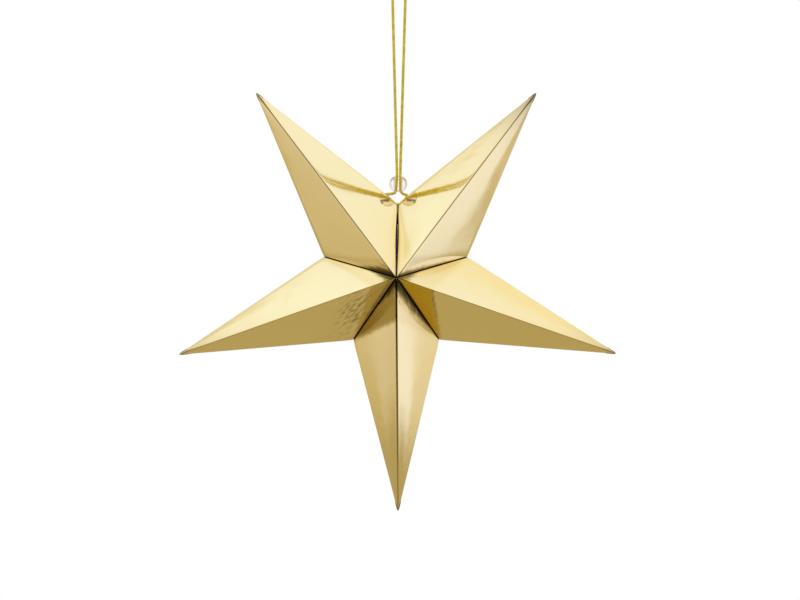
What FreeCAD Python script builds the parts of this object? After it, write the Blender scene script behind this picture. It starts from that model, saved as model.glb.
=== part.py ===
import FreeCAD, Part
import math
import os

# Hanging five-pointed star of folded gold card.
#
# Five hollow rays, each folded from one sheet, are glued side by side along
# their inner edges. The chain is open at the top notch, where one cord goes
# through a punched hole in each of the two end rays. Both strands of the cord
# pass up through a clear bead and end in the loop that the star hangs by.
#
# Frame: the star stands upright and faces -Y, +X is to its right, +Z is up.
# The origin is the place inside the top of the loop that rests on the hook.

V = FreeCAD.Vector

# ------------------------------------------------------------ dimensions, mm
TIP_R = 159.6          # centre of the star to the point of a ray
DEPTH_HALF = 58.0     # centre plane to the front point, and to the back point
CARD = 0.35            # thickness of the gold card
SIDE_ROUND = 9.0       # radius that the card bends to along the outline, at the centre
CREASE = 0.70          # outer radius of the sharp crease along a ridge
TIP_BLUNT = 1.6        # how much of the mathematical point the folded tip lacks
TIP_SOLID = 7.0        # layers lie on each other over this length at a tip
FLANGE = 6.0           # width of the glued strips along the valleys
TAB = 6.5              # width of the glued tab behind a ridge seam
SLIT_HALF = 0.42       # half the gap between the two end rays at the top notch
NOTCH_CLEAR = 12.0     # free end of the strips below the top notch

# direction of each ray's point and of each notch, in degrees clockwise from
# straight up, and their distance from the centre
TIPS = {"ray_upper_left": (-37.1, 160.0), "ray_upper_right": (37.0, 159.8),
        "ray_lower_right": (108.9, 159.7), "ray_bottom": (179.6, 160.0),
        "ray_lower_left": (-109.3, 158.3)}
NOTCH = {"top": (1.1, 50.4), "right": (73.1, 49.6), "low_right": (145.0, 50.1),
         "low_left": (-145.0, 50.3), "left": (-73.3, 50.7)}
NOTCH_REACH = 3.35     # unrounded notch point, beyond the rounded one
# notch on the anticlockwise side, notch on the clockwise side, and the ridge
# that carries the glued seam
RAYS = {"ray_upper_left": ("left", "top", "back"),
        "ray_upper_right": ("top", "right", "back"),
        "ray_lower_right": ("right", "low_right", "back"),
        "ray_bottom": ("low_right", "low_left", "front"),
        "ray_lower_left": ("low_left", "left", "back")}

CORD_D = 1.8           # twisted metallic cord
LOOP_X = 1.9           # the loop hangs this far right of the star's centre
LOOP_Z = 232.0         # and its inner top is this far above it
HOLE_D = 4.8           # punched hole in an end ray
HOLES = {"ray_upper_left": (-7.70, 57.3), "ray_upper_right": (8.40, 56.4)}

BEAD_X, BEAD_Z = 1.25, 64.5
BEAD_R, BEAD_BORE_R, BEAD_RIM = 6.1, 2.70, 0.8
# half the bead's height: where its round outside reaches the rim of the bore
BEAD_HALF = math.sqrt(BEAD_R ** 2 - (BEAD_BORE_R + BEAD_RIM) ** 2)

KNOT_X, KNOT_Z, KNOT_R, KNOT_FLAT = 1.0, 46.7, 2.5, 2.0

# the cord's route in the row frame, from the left side of its knot, out
# through the left hole, up through the bead, over the hook and back down to
# the right side of the knot: x, y, z
ROUTE = [
    (-2.90, 0.0, -185.30),
    (-8.30, 0.0, -185.30),
    (-12.50, 0.0, -181.00),
    (-12.20, 0.0, -175.10),
    (-6.10, 0.0, -174.25),
    (-2.60, 0.0, -173.85),
    (-2.00, 0.0, -169.70),
    (-1.45, 0.0, -162.00),
    (-5.48, 0.0, -1.46),
    (0.00, 0.0, 1.77),
    (5.40, 0.0, -1.46),
    (0.70, 0.0, -162.00),
    (0.85, 0.0, -169.40),
    (1.25, 0.0, -173.60),
    (4.70, 0.0, -175.05),
    (9.20, 0.0, -176.55),
    (9.60, 0.0, -181.80),
    (6.10, 0.0, -185.30),
    (1.10, 0.0, -185.30),
]

os.makedirs("parts", exist_ok=True)
SHIFT = V(-LOOP_X, 0, -LOOP_Z)


def polar(deg, dist):
    a = math.radians(deg)
    return V(dist * math.sin(a), 0, dist * math.cos(a))


def save(name, shape):
    shape = shape.copy()
    shape.translate(SHIFT)
    solids = shape.Solids
    print(name, "solids", len(solids), "valid", shape.isValid(),
          "volume", round(shape.Volume, 1))
    if len(solids) == 1:
        shape = solids[0]
    shape.exportStep("parts/%s.step" % name)
    return shape


# ------------------------------------------------------------------ 2-D tools
# A section is a closed polygon whose sides are card faces. Points are (s, y):
# s to the clockwise side of the ray, y to the back.

def line(p, q):
    """Line through p and q, as unit normal and offset, normal to the left."""
    dx, dy = q[0] - p[0], q[1] - p[1]
    n = math.hypot(dx, dy)
    nx, ny = -dy / n, dx / n
    return (nx, ny, nx * p[0] + ny * p[1])


def cross(a, b):
    det = a[0] * b[1] - a[1] * b[0]
    return ((a[2] * b[1] - a[1] * b[2]) / det, (a[0] * b[2] - a[2] * b[0]) / det)


def inward(ln, t):
    return (ln[0], ln[1], ln[2] + t)


def rounded(points, radii, place):
    """Closed wire of straight sides and tangent corner arcs."""
    n = len(points)
    arcs = []
    for i in range(n):
        p, a, b = points[i], points[i - 1], points[(i + 1) % n]
        ua = ((a[0] - p[0]), (a[1] - p[1]))
        ub = ((b[0] - p[0]), (b[1] - p[1]))
        la, lb = math.hypot(*ua), math.hypot(*ub)
        ua = (ua[0] / la, ua[1] / la)
        ub = (ub[0] / lb, ub[1] / lb)
        half = 0.5 * math.acos(max(-1, min(1, ua[0] * ub[0] + ua[1] * ub[1])))
        r = radii[i]
        d = r / math.tan(half)
        m = (ua[0] + ub[0], ua[1] + ub[1])
        lm = math.hypot(*m)
        m = (m[0] / lm, m[1] / lm)
        reach = r / math.sin(half) - r
        arcs.append(((p[0] + ua[0] * d, p[1] + ua[1] * d),
                     (p[0] + m[0] * reach, p[1] + m[1] * reach),
                     (p[0] + ub[0] * d, p[1] + ub[1] * d)))
    edges = []
    for i in range(n):
        a, m, b = [place(*q) for q in arcs[i]]
        edges.append(Part.Arc(a, m, b).toShape())
        c = place(*arcs[(i + 1) % n][0])
        edges.append(Part.LineSegment(b, c).toShape())
    return Part.Wire(edges)


def flat(points, place):
    pts = [place(*p) for p in points]
    return Part.makePolygon(pts + [pts[0]])


def loft(w1, w2):
    return Part.makeLoft([w1, w2], True, True)


# ----------------------------------------------------------------------- rays

def virtual(name):
    """The unrounded notch point, shared by the two rays that meet there."""
    deg, dist = NOTCH[name]
    return polar(deg, dist + NOTCH_REACH)


def half_widths(tip, left, right, ax, side):
    """Unrounded half widths of the ray at the centre, seen from its point."""
    out = []
    for q in (left, right):
        rel = q - tip
        out.append(abs(rel.dot(side)) / rel.dot(ax * -1) * tip.dot(ax))
    return out


def wedge(centre, dir_a, dir_b, ax, depth):
    """Prism between two planes through the star's own axis."""
    far = 420.0
    pts = [centre, centre + dir_a * far, centre + (dir_a + dir_b).normalize() * 2 * far,
           centre + dir_b * far]
    pts = [V(p.x, -depth, p.z) for p in pts]
    return Part.Face(Part.makePolygon(pts + [pts[0]])).extrude(V(0, 2 * depth, 0))


def make_ray(name):
    ccw, cw, seam = RAYS[name]
    tip = polar(*TIPS[name])
    reach = tip.Length
    ax = V(tip).normalize()                    # from the centre to the point
    side = V(ax.z, 0, -ax.x)                   # to the clockwise side
    left, right = virtual(ccw), virtual(cw)
    wl, wr = half_widths(tip, left, right, ax, side)
    h = DEPTH_HALF
    dir_l = V(left).normalize()
    dir_r = V(right).normalize()

    def at(scale):
        """Placement of a section at scale x its size at the centre."""
        base = ax * (reach * (1 - scale))
        return lambda s, y: base + side * s + V(0, y, 0)

    def corners(scale, t):
        # front ridge, clockwise side, back ridge, anticlockwise side
        p = [(0, -h * scale), (wr * scale, 0), (0, h * scale), (-wl * scale, 0)]
        ls = [inward(line(p[i], p[(i + 1) % 4]), t) for i in range(4)]
        return [cross(ls[i - 1], ls[i]) for i in range(4)], ls

    t = CARD * 1.02                            # card seen along the section
    big = 1.006
    tipk = TIP_BLUNT / reach
    p, _ = corners(big, 0)
    outer_base = rounded(p, [CREASE, SIDE_ROUND, CREASE, SIDE_ROUND], at(big))
    p, _ = corners(tipk, 0)
    outer_tip = rounded(p, [0.12, SIDE_ROUND * tipk, 0.12, SIDE_ROUND * tipk], at(tipk))
    outer = loft(outer_base, outer_tip)

    cavk = TIP_SOLID / reach
    p, _ = corners(big, t)
    inner_base = rounded(p, [CREASE - t, SIDE_ROUND - t, CREASE - t, SIDE_ROUND - t], at(big))
    p, _ = corners(cavk, t)
    inner_tip = rounded(p, [0.10, 0.12, 0.10, 0.12], at(cavk))
    inner = loft(inner_base, inner_tip)

    # planes of the glued strips: the end rays stop short of the top notch
    side_l = V(-dir_l.z, 0, dir_l.x)           # away from the ray, anticlockwise
    side_r = V(dir_r.z, 0, -dir_r.x)
    gap_l = SLIT_HALF if ccw == "top" else 0.0
    gap_r = SLIT_HALF if cw == "top" else 0.0

    def meet(shift_l, shift_r):
        """Corner of the wedge with its two planes moved into the ray."""
        # planes: q . side_l = -shift_l and q . side_r = -shift_r
        det = side_l.x * side_r.z - side_l.z * side_r.x
        x = (-shift_l * side_r.z + shift_r * side_l.z) / det
        z = (-shift_r * side_l.x + shift_l * side_r.x) / det
        return V(x, 0, z)

    body = outer.common(wedge(meet(gap_l, gap_r), dir_l, dir_r, ax, 90))
    hollow = inner.common(wedge(meet(gap_l + CARD, gap_r + CARD), dir_l, dir_r, ax, 90))
    shell = body.cut(hollow)

    # the strips end FLANGE from the valley: what is further in is cut out
    for d, out, q, notch in ((dir_l, side_l, left, ccw), (dir_r, side_r, right, cw)):
        u = q.Length
        # inner edge of the strip is parallel to the valley line
        f = 1.0 - FLANGE * math.hypot(1.0 / u, 1.0 / h)
        pts = [(-3.0, -h * f), (0.0, -h * f), (u * f, 0.0), (0.0, h * f), (-3.0, h * f)]
        pl = lambda a, y: d * a + V(0, y, 0) - out * 3.0
        cutter = Part.Face(flat(pts, pl)).extrude(out * 6.0)
        shell = shell.cut(cutter)
        if notch == "top":
            a0 = NOTCH[notch][1] - NOTCH_CLEAR
            pts = [(a0, -40), (a0 + 60, -40), (a0 + 60, 40), (a0, 40)]
            slab = Part.Face(flat(pts, lambda a, y: d * a + V(0, y, 0) + out * 3.0)).extrude(
                out * -(3.0 + SLIT_HALF + CARD))
            shell = shell.cut(slab.common(inner))

    # glued seam along one ridge: the anticlockwise face turns in behind the
    # clockwise one as a tab, and the outer layer stops just short of the ridge
    def seam_section(scale, tab, gap, part):
        p, ls = corners(scale, 0)
        a, b = (ls[0], ls[3]) if seam == "front" else (ls[1], ls[2])
        # a: the clockwise face next to the ridge, b: the anticlockwise face
        if part == "tab":
            p1 = cross(inward(a, t * 0.96), inward(b, t * 0.5))
            p2 = cross(inward(a, t * 2.0), inward(b, t * 0.5))
            p3 = cross(inward(a, t * 2.0), inward(b, tab))
            p4 = cross(inward(a, t * 0.96), inward(b, tab))
        else:
            p1 = cross(inward(a, -0.8), inward(b, t))
            p2 = cross(inward(a, t), inward(b, t))
            p3 = cross(inward(a, t), inward(b, t + gap))
            p4 = cross(inward(a, -0.8), inward(b, t + gap))
        return flat([p1, p2, p3, p4], at(scale))

    far_k = 16.0 / reach
    tab = loft(seam_section(1.0, TAB, 0, "tab"), seam_section(far_k, 2.2, 0, "tab"))
    tab = tab.common(body)
    gap0, gap1 = (0.75, 0.25) if seam == "front" else (0.25, 0.15)
    slot = loft(seam_section(1.0, 0, gap0, "slot"), seam_section(0.11, 0, gap1, "slot"))
    # the strips stay whole where they start
    shell = shell.cut(slot)
    shell = shell.fuse(tab)

    if name in HOLES:
        x, z = HOLES[name]
        q = NOTCH["top"]
        n0 = polar(*q)
        run = (tip - n0).normalize()
        normal = V(-run.z, 0, run.x)
        if normal.z < 0:
            normal = normal * -1
        at_fold = n0 + run * ((V(x, 0, z) - n0).dot(run))
        punch = Part.makeCylinder(HOLE_D / 2, 9.0, at_fold - normal * 5.0, normal)
        shell = shell.cut(punch)
    return shell.removeSplitter()


# ----------------------------------------------------------------------- cord

def tube(points, diameter):
    """Straight runs joined by tangent arcs, swept with a round section."""
    pts = [V(*p) for p in points]
    edges, radii = [], []
    last = pts[0]
    for i in range(1, len(pts) - 1):
        a, p, b = pts[i - 1], pts[i], pts[i + 1]
        u, w = (a - p), (b - p)
        la, lb = u.Length, w.Length
        u.normalize()
        w.normalize()
        turn = math.pi - u.getAngle(w)
        d = 0.45 * min(la, lb)
        r = d / math.tan(turn / 2)
        radii.append((round(r, 2), round(math.degrees(turn), 1)))
        m = (u + w).normalize()
        s, e = p + u * d, p + w * d
        centre = p + m * (r / math.cos(turn / 2))
        mid = centre - m * r
        edges.append(Part.LineSegment(last, s).toShape())
        edges.append(Part.Arc(s, mid, e).toShape())
        last = e
    edges.append(Part.LineSegment(last, pts[-1]).toShape())
    wire = Part.Wire(edges)
    ring = Part.Wire([Part.Circle(pts[0], pts[1] - pts[0], diameter / 2).toShape()])
    solid = wire.makePipeShell([ring], True, False)
    length = sum(e.Length for e in edges)
    return solid, length, radii


rays = {n: make_ray(n) for n in RAYS}
for n, s in rays.items():
    save(n, s)

cord, length, radii = tube(ROUTE, CORD_D)
print("cord length", round(length, 1), "section x length",
      round(math.pi * CORD_D ** 2 / 4 * length, 1), "volume", round(cord.Volume, 1))
print("radii and turns", radii)
cord.translate(SHIFT * -1)                 # its route is already in the row frame
save("hanging_cord", cord)

# clear bead: a ball with a cylindrical bore and rounded rims
zr = BEAD_HALF - BEAD_RIM
# the outside is one arc about the bead's centre, then a rim arc into the bore
a = V(BEAD_BORE_R + BEAD_RIM, 0, -BEAD_HALF)
b = V(BEAD_R, 0, 0)
c = V(BEAD_BORE_R + BEAD_RIM, 0, BEAD_HALF)
rim = 0.7071 * BEAD_RIM
e = [Part.Arc(a, b, c).toShape(),
     Part.Arc(c, V(BEAD_BORE_R + BEAD_RIM - rim, 0, zr + rim), V(BEAD_BORE_R, 0, zr)).toShape(),
     Part.LineSegment(V(BEAD_BORE_R, 0, zr), V(BEAD_BORE_R, 0, -zr)).toShape(),
     Part.Arc(V(BEAD_BORE_R, 0, -zr), V(BEAD_BORE_R + BEAD_RIM - rim, 0, -zr - rim), a).toShape()]
bead = Part.Face(Part.Wire(e)).revolve(V(0, 0, 0), V(0, 0, 1), 360)
bead.translate(V(BEAD_X, 0, BEAD_Z))
save("bead", bead)

# knot that joins the cord's two ends inside the top notch
knot = Part.makeSphere(KNOT_R, V(KNOT_X, 0, KNOT_Z))
knot = knot.common(Part.makeBox(2 * KNOT_FLAT, 10, 10, V(KNOT_X - KNOT_FLAT, -5, KNOT_Z - 5)))
save("cord_knot", knot)
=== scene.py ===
import math

import bpy
import numpy as np
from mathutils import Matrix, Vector, noise


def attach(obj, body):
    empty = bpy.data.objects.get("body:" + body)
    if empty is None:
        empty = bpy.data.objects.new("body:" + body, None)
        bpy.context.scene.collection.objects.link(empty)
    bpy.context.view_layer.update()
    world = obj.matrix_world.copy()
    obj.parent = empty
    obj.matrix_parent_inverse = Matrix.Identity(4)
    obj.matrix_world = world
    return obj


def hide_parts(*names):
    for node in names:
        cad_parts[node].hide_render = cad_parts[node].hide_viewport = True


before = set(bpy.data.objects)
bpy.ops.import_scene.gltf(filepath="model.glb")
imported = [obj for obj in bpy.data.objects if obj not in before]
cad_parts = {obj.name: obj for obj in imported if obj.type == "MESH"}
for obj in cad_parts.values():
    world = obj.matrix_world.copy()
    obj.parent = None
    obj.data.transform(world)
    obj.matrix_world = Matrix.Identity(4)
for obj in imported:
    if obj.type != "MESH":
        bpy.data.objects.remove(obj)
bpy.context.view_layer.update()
scene = bpy.context.scene

# Hanging five-pointed star of folded gold foil card, on a doubled gold cord
# that runs through a clear bead. Shapes are worked out in millimetres from the
# star's centre, and go into the row frame in metres at the end.
CENTRE = Vector((-0.0019, 0.0, -0.2320))


def to_frame(p):
    """millimetres from the star's centre -> metres in the row frame"""
    return np.asarray(p, float) * 0.001 + np.array(CENTRE)


# ---------------------------------------------------------------- camera
cam_data = bpy.data.cameras.new("camera")
cam_data.sensor_width = 36.0
cam_data.lens = 118.4
cam_data.clip_end = 50.0
camera = bpy.data.objects.new("camera", cam_data)
camera.location = (0.00056, -1.8, -0.2468)
camera.rotation_euler = (math.pi / 2, 0.0, 0.0)
scene.collection.objects.link(camera)
scene.camera = camera
scene.view_settings.view_transform = "Standard"


# ---------------------------------------------------------------- node helper
def material(name):
    m = bpy.data.materials.new(name)
    m.use_nodes = True
    nt = m.node_tree
    for n in list(nt.nodes):
        nt.nodes.remove(n)
    out = nt.nodes.new("ShaderNodeOutputMaterial")
    bsdf = nt.nodes.new("ShaderNodeBsdfPrincipled")
    nt.links.new(bsdf.outputs["BSDF"], out.inputs["Surface"])
    return m, nt, bsdf


def math_node(nt, op, a, b=None, c=None, clamp=False):
    n = nt.nodes.new("ShaderNodeMath")
    n.operation = op
    n.use_clamp = clamp
    for i, v in enumerate((a, b, c)):
        if v is None:
            continue
        if isinstance(v, (int, float)):
            n.inputs[i].default_value = v
        else:
            nt.links.new(v, n.inputs[i])
    return n.outputs[0]


def noise_node(nt, coord, scale, detail=2.0, rough=0.5):
    n = nt.nodes.new("ShaderNodeTexNoise")
    n.inputs["Scale"].default_value = scale
    n.inputs["Detail"].default_value = detail
    n.inputs["Roughness"].default_value = rough
    nt.links.new(coord, n.inputs["Vector"])
    return n.outputs["Fac"]


def ramp_node(nt, fac, stops):
    n = nt.nodes.new("ShaderNodeValToRGB")
    cr = n.color_ramp
    while len(cr.elements) > 1:
        cr.elements.remove(cr.elements[-1])
    cr.elements[0].position = stops[0][0]
    cr.elements[0].color = (*stops[0][1], 1)
    for pos, col in stops[1:]:
        e = cr.elements.new(pos)
        e.color = (*col, 1)
    nt.links.new(fac, n.inputs["Fac"])
    return n.outputs["Color"]


def bump_chain(nt, parts, target):
    """parts: (height socket, strength, distance in metres)"""
    last = None
    for h, strength, dist in parts:
        b = nt.nodes.new("ShaderNodeBump")
        b.inputs["Strength"].default_value = strength
        b.inputs["Distance"].default_value = dist
        nt.links.new(h, b.inputs["Height"])
        if last is not None:
            nt.links.new(last, b.inputs["Normal"])
        last = b.outputs["Normal"]
    nt.links.new(last, target)


# ---------------------------------------------------------------- materials
def foil_material():
    m, nt, b = material("gold_foil")
    tc = nt.nodes.new("ShaderNodeTexCoord")
    co = tc.outputs["Object"]
    b.inputs["Metallic"].default_value = 1.0
    tone = noise_node(nt, co, 14.0, 3.0, 0.55)
    col = ramp_node(nt, tone, [(0.30, (0.952, 0.780, 0.372)), (0.70, (0.962, 0.796, 0.400))])
    # faint streaks and rubbed spots in the metallised film's roughness
    fine = noise_node(nt, co, 420.0, 4.0, 0.65)
    mid = noise_node(nt, co, 60.0, 3.0, 0.55)
    # painted shade: the shade point attribute mixes the film towards near-black
    painted_shade_attr = nt.nodes.new("ShaderNodeAttribute")
    painted_shade_attr.attribute_name = "shade"
    mx = nt.nodes.new("ShaderNodeMixRGB")
    nt.links.new(painted_shade_attr.outputs["Fac"], mx.inputs["Fac"])
    mx.inputs["Color2"].default_value = (0.030, 0.016, 0.0, 1)
    # painted reflection and shade tint: this point attribute mixes the film towards a deep amber that stands for the
    # neighbouring gold mirrored in it
    painted_reflection_attr = nt.nodes.new("ShaderNodeAttribute")
    painted_reflection_attr.attribute_name = "painted_reflection_and_shade_tint"
    mx0 = nt.nodes.new("ShaderNodeMixRGB")
    nt.links.new(painted_reflection_attr.outputs["Fac"], mx0.inputs["Fac"])
    nt.links.new(col, mx0.inputs["Color1"])
    mx0.inputs["Color2"].default_value = (0.90, 0.58, 0.03, 1)
    nt.links.new(mx0.outputs[0], mx.inputs["Color1"])
    nt.links.new(mx.outputs[0], b.inputs["Base Color"])
    r = math_node(nt, "MULTIPLY_ADD", fine, 0.030, 0.040)
    r = math_node(nt, "MULTIPLY_ADD", mid, 0.040, r)
    nt.links.new(r, b.inputs["Roughness"])
    grain = noise_node(nt, co, 2600.0, 2.0, 0.6)
    cockle = noise_node(nt, co, 150.0, 2.0, 0.5)
    bump_chain(nt, [(cockle, 0.10, 0.00003), (grain, 0.05, 0.000004)], b.inputs["Normal"])
    return m


def back_material():
    m, nt, b = material("card_inside")
    tc = nt.nodes.new("ShaderNodeTexCoord")
    co = tc.outputs["Object"]
    fibre = noise_node(nt, co, 900.0, 5.0, 0.6)
    cloud = noise_node(nt, co, 40.0, 2.0, 0.5)
    mix = math_node(nt, "MULTIPLY_ADD", fibre, 0.6, math_node(nt, "MULTIPLY", cloud, 0.4))
    # painted shade: the inside of the card is made dark brown-grey so that the slit between the rays looks dark; the
    # card's true inside colour is not known
    col = ramp_node(nt, mix, [(0.30, (0.10, 0.088, 0.066)), (0.70, (0.16, 0.142, 0.108))])
    nt.links.new(col, b.inputs["Base Color"])
    rr = math_node(nt, "MULTIPLY_ADD", fibre, 0.15, 0.72)
    nt.links.new(rr, b.inputs["Roughness"])
    bump_chain(nt, [(fibre, 0.4, 0.00003)], b.inputs["Normal"])
    return m


def cord_material():
    m, nt, b = material("metallic_thread")
    tc = nt.nodes.new("ShaderNodeTexCoord")
    co = tc.outputs["Object"]
    b.inputs["Metallic"].default_value = 0.15
    fibre = noise_node(nt, co, 3200.0, 3.0, 0.7)
    cloud = noise_node(nt, co, 260.0, 2.0, 0.5)
    mix = math_node(nt, "MULTIPLY_ADD", fibre, 0.65, math_node(nt, "MULTIPLY", cloud, 0.35))
    col = ramp_node(nt, mix, [(0.30, (0.40, 0.29, 0.015)), (0.46, (0.74, 0.60, 0.045)),
                              (0.66, (0.95, 0.86, 0.22))])
    nt.links.new(col, b.inputs["Base Color"])
    rr = math_node(nt, "MULTIPLY_ADD", fibre, 0.25, 0.30)
    nt.links.new(rr, b.inputs["Roughness"])
    bump_chain(nt, [(fibre, 0.6, 0.00012)], b.inputs["Normal"])
    # painted light: the thread glows a little in its own colour, so that it looks brighter than the studio light
    # makes it
    nt.links.new(col, b.inputs["Emission Color"])
    b.inputs["Emission Strength"].default_value = 0.32
    return m


def bead_material():
    m, nt, b = material("clear_acrylic")
    tc = nt.nodes.new("ShaderNodeTexCoord")
    co = tc.outputs["Object"]
    b.inputs["IOR"].default_value = 1.24
    b.inputs["Transmission Weight"].default_value = 1.0
    swirl = noise_node(nt, co, 180.0, 2.0, 0.5)
    col = ramp_node(nt, swirl, [(0.35, (0.985, 0.945, 0.860)), (0.65, (1.0, 0.985, 0.940))])
    nt.links.new(col, b.inputs["Base Color"])
    rr = math_node(nt, "MULTIPLY_ADD", swirl, 0.08, 0.10)
    nt.links.new(rr, b.inputs["Roughness"])
    bump_chain(nt, [(swirl, 0.25, 0.00015)], b.inputs["Normal"])
    return m


FOIL = foil_material()
INSIDE = back_material()
THREAD = cord_material()
ACRYLIC = bead_material()


def new_object(name, verts, faces, mats, face_mat=None, smooth=True):
    me = bpy.data.meshes.new(name)
    me.from_pydata([tuple(v) for v in verts], [], faces)
    for mt in mats:
        me.materials.append(mt)
    if face_mat is not None:
        me.polygons.foreach_set("material_index", np.asarray(face_mat, np.int32))
    me.polygons.foreach_set("use_smooth", [smooth] * len(me.polygons))
    me.update()
    ob = bpy.data.objects.new(name, me)
    scene.collection.objects.link(ob)
    return ob


# ---------------------------------------------------------------- the cord
# Its route in the row frame, in metres: left side of the knot, out through the
# left hole, up through the bead, over the hook, and back the same way. The long
# straight stretches have a point near the hook and one near the bead.
ROUTE = [
    (-0.00290, 0.0, -0.18530),
    (-0.00830, 0.0, -0.18530),
    (-0.01250, 0.0, -0.18100),
    (-0.01220, 0.0, -0.17510),
    (-0.00610, 0.0, -0.17425),
    (-0.00260, 0.0, -0.17385),
    (-0.00200, 0.0, -0.16970),
    (-0.00145, 0.0, -0.16200),
    (-0.00164, 0.0, -0.15430),
    (-0.00521, 0.0, -0.01226),
    (-0.00548, 0.0, -0.00146),
    (0.00000, 0.0, 0.00177),
    (0.00540, 0.0, -0.00146),
    (0.00508, 0.0, -0.01226),
    (0.00092, 0.0, -0.15460),
    (0.00070, 0.0, -0.16200),
    (0.00085, 0.0, -0.16940),
    (0.00125, 0.0, -0.17360),
    (0.00470, 0.0, -0.17505),
    (0.00920, 0.0, -0.17655),
    (0.00960, 0.0, -0.18180),
    (0.00610, 0.0, -0.18530),
    (0.00110, 0.0, -0.18530),
]


def nurbs_line(points, name):
    """The smooth line that a route gives, as points along it."""
    cu = bpy.data.curves.new(name, "CURVE")
    cu.dimensions = "3D"
    cu.resolution_u = 40
    sp = cu.splines.new("NURBS")
    sp.points.add(len(points) - 1)
    for q, p in zip(sp.points, points):
        q.co = (*p, 1.0)
    sp.order_u = 3
    sp.use_endpoint_u = True
    ob = bpy.data.objects.new(name, cu)
    scene.collection.objects.link(ob)
    bpy.context.view_layer.update()
    me = bpy.data.meshes.new_from_object(ob)
    line = np.array([v.co[:] for v in me.vertices], float)
    bpy.data.meshes.remove(me)
    bpy.data.objects.remove(ob)
    bpy.data.curves.remove(cu)
    return line


def resample(line, step):
    seg = np.linalg.norm(np.diff(line, axis=0), axis=1)
    s = np.concatenate([[0], np.cumsum(seg)])
    keep = np.concatenate([[True], np.diff(s) > 1e-9])
    s, line = s[keep], line[keep]
    n = max(2, int(round(s[-1] / step)))
    t = np.linspace(0, s[-1], n + 1)
    return np.stack([np.interp(t, s, line[:, i]) for i in range(3)], 1), t


def twisted(line, t, strands, ring, lay_r, ply_r, pitch, up=(0, 1, 0), wobble=0.0, phase=0.0):
    """Vertices and faces of a cord's strands, laid round a line."""
    tan = np.gradient(line, axis=0)
    tan /= np.linalg.norm(tan, axis=1)[:, None]
    # a frame carried along the line
    nrm = np.zeros_like(line)
    u = np.array(up, float)
    for i in range(len(line)):
        u = u - tan[i] * u.dot(tan[i])
        u /= np.linalg.norm(u)
        nrm[i] = u
    bi = np.cross(tan, nrm)
    verts, faces = [], []
    for k in range(strands):
        turn = phase + 2 * math.pi * (t / pitch) + 2 * math.pi * k / strands
        lay = lay_r * (1 + wobble * np.sin(t * 900.0 + k * 2.1))
        cx = line + nrm * (np.cos(turn) * lay)[:, None] + bi * (np.sin(turn) * lay)[:, None]
        base = len(verts)
        end = np.ones(len(line))
        end[0] = end[-1] = 0.55
        for i in range(len(line)):
            for j in range(ring):
                a = 2 * math.pi * j / ring + turn[i]
                verts.append(cx[i] + (nrm[i] * math.cos(a) + bi[i] * math.sin(a)) * ply_r * end[i])
        for i in range(len(line) - 1):
            for j in range(ring):
                j2 = (j + 1) % ring
                faces.append((base + i * ring + j, base + i * ring + j2,
                              base + (i + 1) * ring + j2, base + (i + 1) * ring + j))
        faces.append(tuple(base + j for j in reversed(range(ring))))
        last = base + (len(line) - 1) * ring
        faces.append(tuple(last + j for j in range(ring)))
    return verts, faces


line = nurbs_line(ROUTE, "cord_route")
path, along = resample(line, 0.00030)
cv, cf = twisted(path, along, 3, 8, 0.00056, 0.00053, 0.0056, wobble=0.05)
cord = new_object("gold_cord", cv, cf, [THREAD])
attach(cord, "root")
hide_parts("hanging_cord")

# ---------------------------------------------------------------- the knot
KNOT = (1.0, 0.0, 46.7)
tt = np.linspace(0, 2 * math.pi, 220, endpoint=False)
kx = (1.32 + 0.72 * np.cos(3 * tt)) * np.cos(2 * tt)
kz = (1.32 + 0.72 * np.cos(3 * tt)) * np.sin(2 * tt)
ky = 0.78 * np.sin(3 * tt)
kline = np.stack([kx * 0.80 + KNOT[0], ky * 1.5, kz + KNOT[2]], 1)
kline = to_frame(np.vstack([kline, kline[:1]]))
kpath, kalong = resample(kline, 0.00022)
kv, kf = twisted(kpath, kalong, 3, 8, 0.00036, 0.00032, 0.0034, up=(0.3, 0.9, 0.2))
knot = new_object("cord_end_knot", kv, kf, [THREAD])
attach(knot, "root")
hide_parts("cord_knot")

# ---------------------------------------------------------------- the bead
BEAD_C = (1.25, 0.0, 64.5)
BEAD_R, BORE_R, RIM = 6.1, 2.70, 0.8
BEAD_HALF = math.sqrt(BEAD_R ** 2 - (BORE_R + RIM) ** 2)


def bead_profile():
    pts = []
    a0 = math.asin(BEAD_HALF / BEAD_R)
    for i in range(29):
        a = -a0 + 2 * a0 * i / 28
        pts.append((BEAD_R * math.cos(a), BEAD_R * math.sin(a)))
    zr = BEAD_HALF - RIM
    for i in range(1, 7):
        a = math.pi / 2 * i / 6
        pts.append((BORE_R + RIM - RIM * math.sin(a), zr + RIM * math.cos(a)))
    for i in range(1, 9):
        z = zr - 2 * zr * i / 8
        pts.append((BORE_R, z))
    for i in range(1, 6):
        a = math.pi / 2 * i / 6
        pts.append((BORE_R + RIM - RIM * math.cos(a), -zr - RIM * math.sin(a)))
    return pts


prof = bead_profile()
nseg = 72
bv, bf = [], []
for j in range(nseg):
    a = 2 * math.pi * j / nseg
    for r, z in prof:
        bv.append(to_frame((BEAD_C[0] + r * math.cos(a), BEAD_C[1] + r * math.sin(a), BEAD_C[2] + z)))
n = len(prof)
for j in range(nseg):
    j2 = (j + 1) % nseg
    for i in range(n):
        i2 = (i + 1) % n
        bf.append((j * n + i, j2 * n + i, j2 * n + i2, j * n + i2))
bead = new_object("clear_bead", bv, bf, [ACRYLIC])
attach(bead, "root")
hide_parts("bead")

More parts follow.
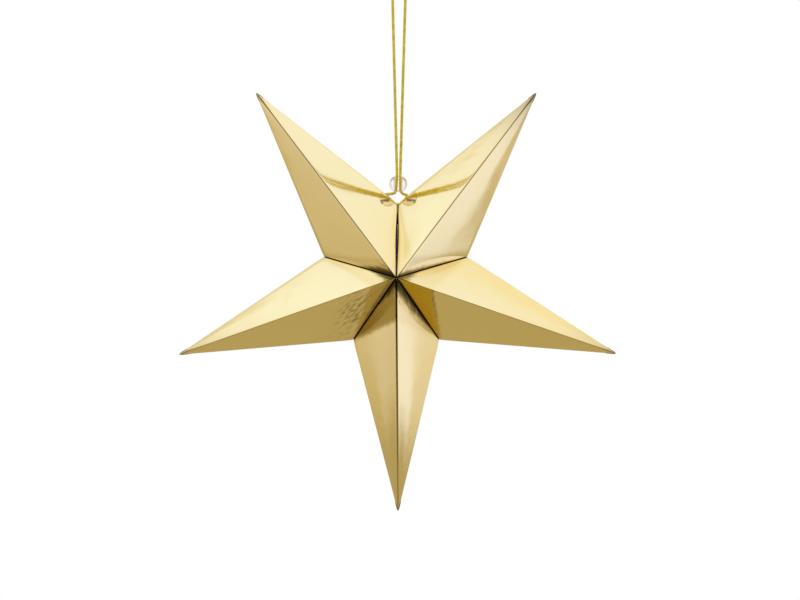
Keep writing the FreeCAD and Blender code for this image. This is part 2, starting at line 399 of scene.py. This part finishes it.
# ---------------------------------------------------------------- the rays
DEPTH = 58.0
CARD = 0.35
SIDE_ROUND = 9.0
FLANGE = 6.0
NOTCH_CLEAR = 12.0
TIPS = {"ray_upper_left": (-37.1, 160.0), "ray_upper_right": (37.0, 159.8),
        "ray_lower_right": (108.9, 159.7), "ray_bottom": (179.6, 160.0),
        "ray_lower_left": (-109.3, 158.3)}
NOTCH = {"top": (1.1, 50.4), "right": (73.1, 49.6), "low_right": (145.0, 50.1),
         "low_left": (-145.0, 50.3), "left": (-73.3, 50.7)}
NOTCH_REACH = 3.35
RAYS = {"ray_upper_left": ("left", "top", "back"),
        "ray_upper_right": ("top", "right", "back"),
        "ray_lower_right": ("right", "low_right", "back"),
        "ray_bottom": ("low_right", "low_left", "front"),
        "ray_lower_left": ("low_left", "left", "back")}
HOLE_D = 4.8
HOLES = {"ray_upper_left": (-7.70, 57.3), "ray_upper_right": (8.40, 56.4)}
# how far and how widely the card rolls down into each valley
ROLL = {"top": (0.3, 2.5), "right": (0.7, 3.0), "low_right": (0.4, 3.0),
        "low_left": (0.4, 3.0), "left": (0.4, 2.5)}
# how far each facet crowns outward, millimetres: anticlockwise, clockwise
CROWN = {"ray_upper_left": (0.10, 0.04), "ray_upper_right": (0.04, 0.22),
         "ray_lower_right": (0.10, 0.05), "ray_bottom": (0.28, 0.28),
         "ray_lower_left": (0.05, 0.12)}


def polar(deg, dist):
    a = math.radians(deg)
    return np.array([dist * math.sin(a), dist * math.cos(a)])


def slit_half(a):
    """half the gap between the two end rays, a millimetres up from the centre"""
    return 0.5 * (0.32 + 0.74 * np.exp(-((a - 26.0) / 12.5) ** 2))


def value_noise(p, scale, seed):
    out = np.empty(len(p))
    for i, q in enumerate(p):
        out[i] = noise.noise(Vector((q[0] * scale + seed, q[1] * scale - 2 * seed, q[2] * scale + 7.3)))
    return out


CREASE_D = np.array([0.0, 0.10, 0.20, 0.32, 0.50, 0.80, 1.40])
FACET_F = np.linspace(0, 1, 25)[1:]
ARC_N = 10


# the middle of the star is pulled in: flat dents between the notches and a
# point on each ridge, this far from the centre, and this deep at the centre
DENT_AT = {"ray_upper_left": 16.0, "ray_upper_right": 18.0, "ray_lower_right": 25.6,
           "ray_bottom": 29.0, "ray_lower_left": 18.0}
DENT = 1.3
DENT_K = {("ray_upper_left", -1): 0.35, ("ray_upper_left", 1): 0.15, ("ray_upper_right", -1): 0.35,
          ("ray_upper_right", 1): 0.25, ("ray_lower_right", -1): 0.25, ("ray_lower_left", 1): 0.25,
          ("ray_bottom", -1): 0.6}
# painted shade: how much darker the film is made towards a ray's point
TIP_SHADE = {("ray_upper_right", -1): 0.40, ("ray_upper_right", 1): 0.42, ("ray_lower_right", -1): 0.22,
             ("ray_lower_left", 1): 0.16}
# painted shade line down each valley: strength and half width
VALLEY_SHADE_LINE = {"top": (0.30, 0.30), "right": (0.85, 0.42), "low_right": (0.42, 0.28),
          "low_left": (0.34, 0.28), "left": (0.62, 0.34)}
# painted shade beside each valley, near the centre where the sheets meet: strength,
# width at the centre, width at the notch, and length as a share of the valley
SHADE = {("ray_upper_left", -1): (0.98, 7.0, 0.5, 0.48), ("ray_upper_left", 1): (0.25, 0.8, 0.4, 0.9),
         ("ray_upper_right", -1): (0.25, 0.8, 0.4, 0.9), ("ray_upper_right", 1): (0.90, 2.6, 0.5, 0.80),
         ("ray_lower_right", -1): (0.85, 6.0, 0.4, 0.30), ("ray_lower_right", 1): (0.30, 2.0, 0.6, 0.85),
         ("ray_bottom", -1): (1.0, 7.2, 1.0, 0.80), ("ray_bottom", 1): (1.0, 7.0, 0.6, 0.45),
         ("ray_lower_left", -1): (0.50, 4.2, 1.6, 0.80), ("ray_lower_left", 1): (0.95, 5.0, 0.4, 0.36)}
# the valley's edge stands up this far near the centre, over this width
LIFT = {("ray_upper_left", -1): (0.8, 3.6), ("ray_upper_left", 1): (0.0, 2.0),
        ("ray_upper_right", -1): (0.0, 2.0), ("ray_upper_right", 1): (0.7, 3.0),
        ("ray_lower_right", -1): (0.9, 3.6), ("ray_lower_right", 1): (0.2, 3.0),
        ("ray_bottom", -1): (1.1, 4.0), ("ray_bottom", 1): (1.0, 4.0),
        ("ray_lower_left", -1): (0.3, 3.0), ("ray_lower_left", 1): (0.8, 3.4)}


# painted reflection and painted shade inside the dents: how amber the film is made where it
# stands for its mirrored neighbour, and how dark it is made there
DENT_REFLECTION_AND_SHADE = {("ray_upper_left", -1): (0.10, 0.06), ("ray_upper_left", 1): (0.06, 0.00),
         ("ray_upper_right", -1): (0.20, 0.00), ("ray_upper_right", 1): (0.00, 0.05),
         ("ray_lower_right", -1): (0.12, 0.04), ("ray_lower_right", 1): (0.95, 0.20),
         ("ray_bottom", -1): (0.10, 0.05), ("ray_bottom", 1): (0.75, 0.58),
         ("ray_lower_left", -1): (0.35, 0.22), ("ray_lower_left", 1): (0.20, 0.02)}


def dent(px, pz, notch, ridge_pt, soft=0.035):
    """share of the dent's depth: 1 at the centre, 0 beyond the line"""
    det = notch[0] * ridge_pt[1] - notch[1] * ridge_pt[0]
    a = (px * ridge_pt[1] - pz * ridge_pt[0]) / det
    b = (notch[0] * pz - notch[1] * px) / det
    lam = 1 - a - b
    return soft * np.logaddexp(0, lam / soft), lam


def build_ray(name, index):
    ccw, cw, seam = RAYS[name]
    tip = polar(*TIPS[name])
    reach = float(np.linalg.norm(tip))
    ax = tip / reach
    side = np.array([ax[1], -ax[0]])
    ends = {-1: polar(NOTCH[ccw][0], NOTCH[ccw][1] + NOTCH_REACH),
            1: polar(NOTCH[cw][0], NOTCH[cw][1] + NOTCH_REACH)}
    notch_name = {-1: ccw, 1: cw}
    w, nrm, vdir = {}, {}, {}
    for sg, q in ends.items():
        rel = q - tip
        w[sg] = abs(rel.dot(side)) / (-rel.dot(ax)) * reach
        d = q / np.linalg.norm(q)
        vdir[sg] = d
        nrm[sg] = np.array([-d[1], d[0]]) if sg < 0 else np.array([d[1], -d[0]])
    h = DEPTH

    # columns round the section: side sign, front or back, kind, value
    def half(sg, lip_front, lip_back):
        cols = []
        for d in CREASE_D:
            cols.append((sg, -1, "crease", d, lip_front))
        for f in FACET_F:
            cols.append((sg, -1, "facet", f, lip_front))
        for i in range(1, ARC_N):
            cols.append((sg, 0, "arc", -1 + 2 * i / ARC_N, False))
        for f in FACET_F[::-1]:
            cols.append((sg, 1, "facet", f, lip_back))
        for d in CREASE_D[::-1]:
            cols.append((sg, 1, "crease", d, lip_back))
        return cols

    lf, lb = seam == "front", seam == "back"
    right = half(1, lf, lb)
    left = half(-1, lf, lb)[::-1]
    lip_depths = (2.6, 1.6, 0.8, 0.35)
    if seam == "front":
        cols = ([(1, -1, "lip", d, True) for d in lip_depths] + right + left[1:]
                + [(-1, -1, "lip", d, True) for d in reversed(lip_depths)])
    else:
        cols = ([(-1, 1, "lip", d, True) for d in lip_depths] + left + right[1:]
                + [(1, 1, "lip", d, True) for d in reversed(lip_depths)])

    rows = 104
    fil = 7
    flr = 4
    ktip = 0.010
    grid = np.zeros((rows + fil + flr, len(cols), 3))
    kk = np.zeros((rows + fil + flr, len(cols)))
    info = []
    gap0, gap1 = (0.98, 0.26) if seam == "front" else (0.25, 0.15)

    def point(col, k):
        """x, y, z of a column at section scale k (arrays)"""
        sg, face, kind, val, lip = col
        wid = w[sg]
        L = math.hypot(wid, h)
        phi = math.atan2(h, wid)
        dt = SIDE_ROUND / math.tan(phi)
        st = wid - dt * wid / L
        gap = 0.5 * (gap1 + (gap0 - gap1) * np.clip((k - 0.1) / 0.9, 0, 1)) if lip else 0.0 * k
        gap = np.minimum(gap, 0.25 * st * k)
        dcap = np.minimum(1.0, 0.35 * st * k / CREASE_D[-1])
        if kind == "arc":
            th = val * (math.pi / 2 - phi)
            s = (wid - SIDE_ROUND / math.sin(phi) + SIDE_ROUND * math.cos(th)) * k
            y = SIDE_ROUND * math.sin(th) * k
        else:
            near_tip = np.exp(-(k * reach / 14.0) ** 2)
            e = np.minimum((0.34 if not lip else 0.22) * (1 + 0.9 * near_tip), (0.16 + 0.25 * near_tip) * st * k)
            if kind == "crease":
                s0 = val * dcap
            elif kind == "facet":
                dm = CREASE_D[-1] * dcap
                s0 = dm + val * (st * k - dm - gap)
            else:
                s0 = 0.0 * k
            s = s0 + gap
            if lip:
                fall = s + e * np.exp(-s0 / np.maximum(e, 1e-6))
            else:
                fall = np.sqrt(s ** 2 + e ** 2)
            depth = h * k - (h / wid) * fall
            if kind == "lip":
                depth = depth - np.minimum(val, 0.45 * h * k)
                s = s * (1 - 0.10 * val / 2.6)
            y = face * depth
        q = ax[None, :] * (reach * (1 - k))[:, None] + side[None, :] * (sg * s)[:, None]
        return np.stack([q[:, 0], y, q[:, 1]], 1)

    for j, col in enumerate(cols):
        sg = col[0]
        n2 = nrm[sg]
        # section scale at which the column meets the plane of the glued strip
        lo, hi = 0.3, 1.2
        for _ in range(44):
            mid = 0.5 * (lo + hi)
            p = point(col, np.array([mid]))[0]
            if (p[0] * n2[0] + p[2] * n2[1]) * 1.0 < 0:
                lo = mid
            else:
                hi = mid
        ke = 0.5 * (lo + hi)
        e3 = point(col, np.array([ke]))[0]
        a1 = 0.9 / (reach * 0.9)
        k = ktip + (ke - a1 - ktip) * np.linspace(0, 1, rows) ** 1.0
        body = point(col, k)
        f_end = 1.0 - FLANGE * math.hypot(1.0 / np.linalg.norm(ends[sg]), 1.0 / h)
        along_v = abs(e3[0] * vdir[sg][0] + e3[2] * vdir[sg][1])
        if notch_name[sg] == "top":
            free = np.clip((along_v - (NOTCH["top"][1] - NOTCH_CLEAR)) / 2.0, 0, 1)
            f_end = f_end + (0.985 - f_end) * free
        fd = -e3 / np.linalg.norm(e3)
        start = body[-1]
        b1 = min(1.2, 0.8 * (1 - f_end) * np.linalg.norm(e3))
        stop = e3 + fd * b1
        tq = np.linspace(0, 1, fil + 1)[1:, None]
        bez = (1 - tq) ** 2 * start + 2 * (1 - tq) * tq * e3 + tq ** 2 * stop
        fin = e3 * f_end
        tf = np.linspace(0, 1, flr + 1)[1:, None]
        fl = stop + (fin - stop) * tf
        grid[:, j] = np.vstack([body, bez, fl])
        kk[:rows, j] = k
        kk[rows:, j] = ke
    nr, nc = grid.shape[:2]

    # --- distances that shape the sheet
    P = grid
    sgn = np.array([c[0] for c in cols])
    face = np.array([c[1] for c in cols])
    is_lip = np.array([c[2] == "lip" for c in cols])
    disp = np.zeros_like(P)
    shade = np.zeros(P.shape[:2])
    painted_reflection_and_shade_tint = np.zeros(P.shape[:2])
    for sg in (-1, 1):
        sel = sgn == sg
        q = ends[sg]
        q3 = np.array([q[0], 0.0, q[1]])
        for fc in (-1, 1):
            # distance to the valley line from the ridge end to the notch
            f3 = np.array([0.0, fc * h, 0.0])
            vd = (q3 - f3) / np.linalg.norm(q3 - f3)
            cs = sel & ((face == fc) | ((face == 0) & (np.array([c[3] if c[2] == "arc" else 0 for c in cols]) * fc >= 0)))
            idx = np.where(cs)[0]
            rel = P[:, idx] - f3
            t_along = rel @ vd
            dist = np.linalg.norm(rel - t_along[..., None] * vd, axis=2)
            amp, wide = ROLL[notch_name[sg]]
            tfrac = np.clip(t_along / np.linalg.norm(q3 - f3), 0, 1)
            prof_v = amp * (0.35 + 0.65 * np.sin(math.pi * np.clip(tfrac * 0.9 + 0.08, 0, 1)))
            fdir = -P[:, idx] / np.maximum(np.linalg.norm(P[:, idx], axis=2), 1e-6)[..., None]
            fall = np.exp(-(dist / wide) ** 1.4)
            fade = np.ones(nr)
            fade[rows + fil:] = np.linspace(1, 0.3, flr)
            disp[:, idx] += fdir * (prof_v * fall * fade[:, None])[..., None] * 0.8
            la, lw = LIFT[(name, sg)]
            up_v = la * (1 - tfrac) ** 1.1 * np.clip(tfrac / 0.08, 0, 1)
            wid_v = lw * (1 - tfrac) + 0.7
            disp[:, idx] -= fdir * (up_v * np.exp(-(dist / wid_v) ** 1.3) * fade[:, None])[..., None]
            rp = ax * DENT_AT[name]
            share, lam = dent(P[:, idx, 0], P[:, idx, 2], q, rp)
            disp[:, idx, 1] -= fc * DENT * DENT_K.get((name, sg), 1.0) * share * np.clip(np.abs(P[:, idx, 1]) / 12.0, 0, 1)
            s_amt, s_w0, s_w1, s_len = SHADE[(name, sg)]
            if fc > 0:
                s_amt *= 0.7
            rag = value_noise(P[:, idx].reshape(-1, 3), 0.33, 4.2 + index * 3.3 + sg).reshape(nr, -1)
            rag2 = value_noise(P[:, idx].reshape(-1, 3), 1.1, 8.2 + index * 1.3 + sg).reshape(nr, -1)
            # in the picture plane, the distance from the valley and the way along it
            av = P[:, idx, 0] * vdir[sg][0] + P[:, idx, 2] * vdir[sg][1]
            off_v = np.abs(P[:, idx, 0] * nrm[sg][0] + P[:, idx, 2] * nrm[sg][1])
            run_v = np.clip(av / np.linalg.norm(q), 0, 1)
            wid_s = (s_w0 + (s_w1 - s_w0) * np.clip(run_v / s_len, 0, 1)) * (1 + 0.55 * rag + 0.35 * rag2)
            hold = 1 / (1 + np.exp((run_v + 0.10 * rag - s_len) / 0.045))
            one = hold / (1 + np.exp((off_v - wid_s) / (0.17 * wid_s + 0.16)))
            g_amt, g_w = VALLEY_SHADE_LINE[notch_name[sg]]
            line_v = g_amt * np.exp(-(off_v / g_w) ** 2)
            am, dk = DENT_REFLECTION_AND_SHADE[(name, sg)]
            inside = 1 / (1 + np.exp(-(lam + 0.03 * rag + 0.02 * rag2 - 0.02) / 0.022))
            # painted reflection of the neighbour inside the dent, and an amber tint under the painted shade beside
            # the valley
            painted_reflection_and_shade_tint[:, idx] = np.maximum(am * inside, 0.85 * s_amt * one)
            # painted shade: the glued strips are made near-black, as little light gets between them
            shade[rows + 1:, idx] = np.maximum(shade[rows + 1:, idx], 0.94)
            dark_tip = TIP_SHADE.get((name, sg), 0.0) * np.exp(-(kk[:, idx] * reach / 28.0) ** 2)
            shade[:, idx] = np.maximum(shade[:, idx], dark_tip)
            if (name, sg) == ("ray_lower_right", 1):
                # painted shade: the dent's far side is darkened where it would mirror a dark fold
                band = 0.72 * np.exp(-((lam + 0.03 * rag - 0.020) / 0.032) ** 2) * np.clip(1.3 - run_v, 0, 1)
                shade[:, idx] = np.maximum(shade[:, idx], band)
            if (name, sg) == ("ray_lower_left", -1):
                # painted shade of fine crumples near the middle; the crumples are not in the sheet's shape
                crumple_shade_noise = value_noise(P[:, idx].reshape(-1, 3) * [0.45, 0.0, 1.25], 1.0, 21.4).reshape(nr, -1)
                zone = np.exp(-((run_v - 0.62) / 0.30) ** 2 - ((off_v - 9.0) / 9.0) ** 2)
                dk = dk + 0.8 * zone * np.clip(crumple_shade_noise - 0.05, 0, 1) * 1.8
                shade[:, idx] = np.maximum(shade[:, idx], np.clip(zone * np.clip(crumple_shade_noise - 0.02, 0, 1) * 1.9, 0, 0.62))
            # painted shade: the bands beside the valley, the line down it and the darkened dent
            shade[:, idx] = np.maximum(shade[:, idx],
                                       np.maximum(np.maximum(s_amt * one, line_v), np.clip(dk * inside, 0, 0.8)))
            if notch_name[sg] == "top":
                a = P[:, idx, 0] * vdir[sg][0] + P[:, idx, 2] * vdir[sg][1]
                # the gap gapes at the front and closes towards the back
                gape = 0.5 - 0.5 * np.tanh(P[:, idx, 1] / 12.0)
                off = slit_half(a) * gape * np.exp(-(dist / 14.0) ** 2) + 0.012
                disp[:, idx, 0] -= nrm[sg][0] * off
                disp[:, idx, 2] -= nrm[sg][1] * off
            else:
                near = np.exp(-(dist / 3.0) ** 2) * 0.012
                disp[:, idx, 0] -= nrm[sg][0] * near
                disp[:, idx, 2] -= nrm[sg][1] * near
    P = P + disp

    # --- outward normals of the smooth sheet
    def normals(G):
        du = np.gradient(G, axis=0)
        dv = np.gradient(G, axis=1)
        nn = np.cross(du, dv)
        ln = np.linalg.norm(nn, axis=2)
        nn /= np.maximum(ln, 1e-9)[..., None]
        return nn

    nn = normals(P)
    jf = next(i for i, c in enumerate(cols) if c[1] == -1 and c[2] == "facet" and abs(c[3] - 0.5) < 0.03)
    flip = nn[rows // 2, jf, 1] > 0
    if flip:
        nn = -nn

    # --- the card's own unevenness: a slight crown, long waves, small cockles
    frac = np.zeros(nc)
    for i, c in enumerate(cols):
        frac[i] = c[3] if c[2] == "facet" else (1.0 if c[2] == "arc" else 0.0)
    crown = np.sin(math.pi * frac) * np.where(sgn > 0, CROWN[name][1], CROWN[name][0])
    soft = np.sin(math.pi * frac)
    body_fade = np.zeros(nr)
    body_fade[:rows] = np.sin(math.pi * np.clip(np.linspace(0.0, 1.0, rows), 0, 1) ** 0.8) ** 0.7
    flatp = P.reshape(-1, 3)
    wave = value_noise(flatp, 0.045, 3.1 + index * 11.7).reshape(nr, nc)
    cock = value_noise(flatp, 0.17, 9.4 + index * 5.3).reshape(nr, nc)
    fine = value_noise(flatp, 0.55, 1.7 + index * 2.9).reshape(nr, nc)
    edge = np.exp(-((1 - frac) / 0.10) ** 2) + 0.5 * np.exp(-(frac / 0.06) ** 2)
    amount = (crown[None, :] + 0.06 * wave * (0.25 + soft[None, :])
              + 0.012 * cock * (0.4 + soft[None, :]) + 0.003 * fine * (0.3 + edge[None, :]))
    amount *= body_fade[:, None]
    amount[:, is_lip] = 0
    P = P + nn * amount[..., None]
    nn = normals(P)
    if flip:
        nn = -nn

    # --- inner side of the card
    thick = np.minimum(CARD, 0.30 * h * kk)
    Q = P - nn * thick[..., None]

    verts = list(to_frame(P.reshape(-1, 3))) + list(to_frame(Q.reshape(-1, 3)))
    N = nr * nc
    faces, fm = [], []

    def quad(a, b, c, d, mt):
        faces.append((a, b, c, d) if not flip else (d, c, b, a))
        fm.append(mt)

    for i in range(nr - 1):
        for j in range(nc - 1):
            a, b, c, d = i * nc + j, (i + 1) * nc + j, (i + 1) * nc + j + 1, i * nc + j + 1
            quad(a, b, c, d, 0)
            quad(N + d, N + c, N + b, N + a, 1)
    for i in range(nr - 1):                      # the two edges of the seam
        a, b = i * nc, (i + 1) * nc
        quad(a, N + a, N + b, b, 1)
        a, b = i * nc + nc - 1, (i + 1) * nc + nc - 1
        quad(b, N + b, N + a, a, 1)
    for j in range(nc - 1):                      # inner edge of the glued strips
        a, b = (nr - 1) * nc + j, (nr - 1) * nc + j + 1
        quad(a, N + a, N + b, b, 1)
    # the point
    t3 = np.array([tip[0], 0, tip[1]])
    apex_o = len(verts)
    verts.append(to_frame(t3 * (1 - 0.003)))
    verts.append(to_frame(t3 * (1 - 0.008)))
    for j in range(nc - 1):
        tri = (apex_o, j, j + 1)
        faces.append(tri if not flip else tri[::-1])
        fm.append(0)
        tri = (apex_o + 1, N + j + 1, N + j)
        faces.append(tri if not flip else tri[::-1])
        fm.append(1)
    quad(apex_o, apex_o + 1, N + 0, 0, 1)
    quad(nc - 1, N + nc - 1, apex_o + 1, apex_o, 1)

    ob = new_object(name.replace("ray_", "star_ray_"), verts, faces, [FOIL, INSIDE], fm)
    # the painted shade and painted reflection go onto the outer points as attributes for the foil
    at_s = ob.data.attributes.new("shade", "FLOAT", "POINT")
    vals = np.zeros(len(verts), np.float32)
    vals[:N] = np.clip(shade, 0, 1).reshape(-1)
    at_s.data.foreach_set("value", vals)
    at_a = ob.data.attributes.new("painted_reflection_and_shade_tint", "FLOAT", "POINT")
    vals[:N] = np.clip(painted_reflection_and_shade_tint, 0, 1).reshape(-1)
    at_a.data.foreach_set("value", vals)

    if name in HOLES:
        x, z = HOLES[name]
        n0 = polar(*NOTCH["top"])
        run = (tip - n0) / np.linalg.norm(tip - n0)
        nm = np.array([-run[1], run[0]])
        if nm[1] < 0:
            nm = -nm
        at = n0 + run * ((np.array([x, z]) - n0).dot(run))
        axis3 = np.array([nm[0], 0, nm[1]])
        run3 = np.array([run[0], 0, run[1]])
        c0 = np.array([at[0], 0, at[1]]) - axis3 * 5.0
        pv, pf = [], []
        ns = 40
        for lv in (0.0, 9.0):
            for i in range(ns):
                a = 2 * math.pi * i / ns
                r = HOLE_D / 2
                pv.append(to_frame(c0 + axis3 * lv + run3 * r * math.cos(a) + np.array([0, 1, 0]) * r * math.sin(a)))
        pf.append(tuple(range(ns)))
        pf.append(tuple(range(2 * ns - 1, ns - 1, -1)))
        for i in range(ns):
            i2 = (i + 1) % ns
            pf.append((i2, i, ns + i, ns + i2))
        me = bpy.data.meshes.new("punch")
        me.from_pydata([tuple(v) for v in pv], [], pf)
        me.materials.append(INSIDE)
        me.materials.append(INSIDE)
        me.update()
        cut = bpy.data.objects.new("punch", me)
        scene.collection.objects.link(cut)
        bm = ob.modifiers.new("hole", "BOOLEAN")
        bm.operation = "DIFFERENCE"
        bm.solver = "EXACT"
        bm.object = cut
        bpy.context.view_layer.update()
        dg = bpy.context.evaluated_depsgraph_get()
        new = bpy.data.meshes.new_from_object(ob.evaluated_get(dg))
        ob.modifiers.clear()
        old = ob.data
        ob.data = new
        bpy.data.meshes.remove(old)
        bpy.data.objects.remove(cut)
        print(name, "hole cut, faces", len(new.polygons))
    ob.data.set_sharp_from_angle(angle=math.radians(48))
    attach(ob, "root")
    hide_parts(name)
    return ob


for i, nm_ in enumerate(RAYS):
    build_ray(nm_, i)


# ---------------------------------------------------------------- studio
def studio_world():
    w = bpy.data.worlds.new("studio")
    scene.world = w
    w.use_nodes = True
    nt = w.node_tree
    for n in list(nt.nodes):
        nt.nodes.remove(n)
    out = nt.nodes.new("ShaderNodeOutputWorld")
    tc = nt.nodes.new("ShaderNodeTexCoord")
    sep = nt.nodes.new("ShaderNodeSeparateXYZ")
    nt.links.new(tc.outputs["Generated"], sep.inputs[0])
    x, y, z = sep.outputs
    # direction round the star, clockwise from straight up
    p = math_node(nt, "ARCTAN2", x, z)
    fac = math_node(nt, "MULTIPLY_ADD", p, 0.5 / math.pi, 0.5)

    def at(deg):
        return 0.5 + deg / 360.0

    main = ramp_node(nt, fac, [
        (at(-180), (0.446, 0.390, 0.229)), (at(-125), (0.495, 0.441, 0.305)),
        (at(-112), (0.594, 0.513, 0.356)), (at(-109.5), (0.653, 0.585, 0.457)),
        (at(-107), (0.690, 0.630, 0.560)), (at(-104), (0.792, 0.749, 0.762)),
        (at(-75), (0.842, 0.821, 0.889)), (at(-43), (0.871, 0.862, 0.864)),
        (at(-39), (0.990, 1.047, 1.219)), (at(-36.5), (1.040, 1.149, 1.448)),
        (at(-33), (0.960, 1.005, 1.206)), (at(-22), (0.832, 0.780, 0.711)),
        (at(0), (0.733, 0.657, 0.508)), (at(22), (0.832, 0.780, 0.711)),
        (at(32), (0.990, 1.057, 1.321)), (at(35.5), (0.990, 1.057, 1.308)),
        (at(38), (1.000, 1.010, 1.080)), (at(43), (0.891, 0.862, 0.838)),
        (at(75), (0.941, 0.944, 1.118)), (at(104), (0.990, 1.026, 1.397)),
        (at(109), (0.950, 0.995, 1.321)), (at(112), (0.871, 0.903, 1.143)),
        (at(128), (0.594, 0.544, 0.483)), (at(180), (0.446, 0.390, 0.229))])
    behind = ramp_node(nt, fac, [
        (at(-180), (0.446, 0.390, 0.229)), (at(-125), (0.455, 0.390, 0.229)),
        (at(-114), (0.450, 0.385, 0.225)), (at(-110.5), (0.470, 0.405, 0.240)), (at(-107), (0.620, 0.540, 0.360)),
        (at(-75), (0.693, 0.636, 0.610)), (at(-38), (0.851, 0.831, 0.787)),
        (at(0), (0.733, 0.677, 0.584)), (at(36), (0.990, 0.970, 0.900)),
        (at(75), (0.792, 0.759, 0.762)), (at(106), (0.820, 0.780, 0.760)),
        (at(109.5), (0.600, 0.540, 0.420)), (at(130), (0.455, 0.395, 0.235)),
        (at(180), (0.446, 0.390, 0.229))])

    def span(lo, hi):
        mr = nt.nodes.new("ShaderNodeMapRange")
        mr.interpolation_type = "SMOOTHSTEP"
        mr.inputs["From Min"].default_value = lo
        mr.inputs["From Max"].default_value = hi
        nt.links.new(y, mr.inputs["Value"])
        return mr.outputs[0]

    def mixed(f, c1, c2):
        mx = nt.nodes.new("ShaderNodeMixRGB")
        nt.links.new(f, mx.inputs["Fac"])
        for sock, c in ((mx.inputs["Color1"], c1), (mx.inputs["Color2"], c2)):
            if isinstance(c, tuple):
                sock.default_value = (*c, 1)
            else:
                nt.links.new(c, sock)
        return mx.outputs[0]

    # from the dark camera side, past the light panels, to the white backdrop
    c = mixed(span(-0.40, -0.05), (0.20, 0.17, 0.12), (0.40, 0.34, 0.22))
    c = mixed(span(-0.10, 0.16), c, main)
    c = mixed(span(0.336, 0.372), c, behind)
    c = mixed(span(0.86, 0.97), c, (0.99, 1.00, 1.15))
    mix_out = c
    bg1 = nt.nodes.new("ShaderNodeBackground")
    nt.links.new(mix_out, bg1.inputs["Color"])
    bg1.inputs["Strength"].default_value = 1.0
    bg2 = nt.nodes.new("ShaderNodeBackground")
    bg2.inputs["Color"].default_value = (1, 1, 1, 1)
    bg2.inputs["Strength"].default_value = 1.0
    lp = nt.nodes.new("ShaderNodeLightPath")
    ms = nt.nodes.new("ShaderNodeMixShader")
    nt.links.new(lp.outputs["Is Camera Ray"], ms.inputs["Fac"])
    nt.links.new(bg1.outputs[0], ms.inputs[1])
    nt.links.new(bg2.outputs[0], ms.inputs[2])
    nt.links.new(ms.outputs[0], out.inputs["Surface"])


studio_world()

m, nt, b = material("pale_floor")
b.inputs["Roughness"].default_value = 0.75
tcn = nt.nodes.new("ShaderNodeTexCoord")
fn = noise_node(nt, tcn.outputs["Object"], 3.0, 2.0, 0.5)
fcol = ramp_node(nt, fn, [(0.35, (0.83, 0.755, 0.47)), (0.65, (0.86, 0.785, 0.50))])
nt.links.new(fcol, b.inputs["Base Color"])
# it thins out to both sides, so that the foil shows no hard edge
sepf = nt.nodes.new("ShaderNodeSeparateXYZ")
nt.links.new(tcn.outputs["Object"], sepf.inputs[0])
away = math_node(nt, "ABSOLUTE", sepf.outputs[0])
edge_f = nt.nodes.new("ShaderNodeMapRange")
edge_f.interpolation_type = "SMOOTHSTEP"
edge_f.inputs["From Min"].default_value = 1.00
edge_f.inputs["From Max"].default_value = 1.34
edge_f.inputs["To Min"].default_value = 1.0
edge_f.inputs["To Max"].default_value = 0.0
nt.links.new(away, edge_f.inputs["Value"])
nt.links.new(edge_f.outputs[0], b.inputs["Alpha"])
FLOOR_Z = -0.712
fv, ff = [], []
gn = 24
for i in range(gn + 1):
    for j in range(gn + 1):
        fv.append((-1.36 + 2.72 * i / gn, -1.5 + 3.0 * j / gn, FLOOR_Z))
for i in range(gn):
    for j in range(gn):
        a = i * (gn + 1) + j
        ff.append((a, a + gn + 1, a + gn + 2, a + 1))
floor = new_object("floor", fv, ff, [m])
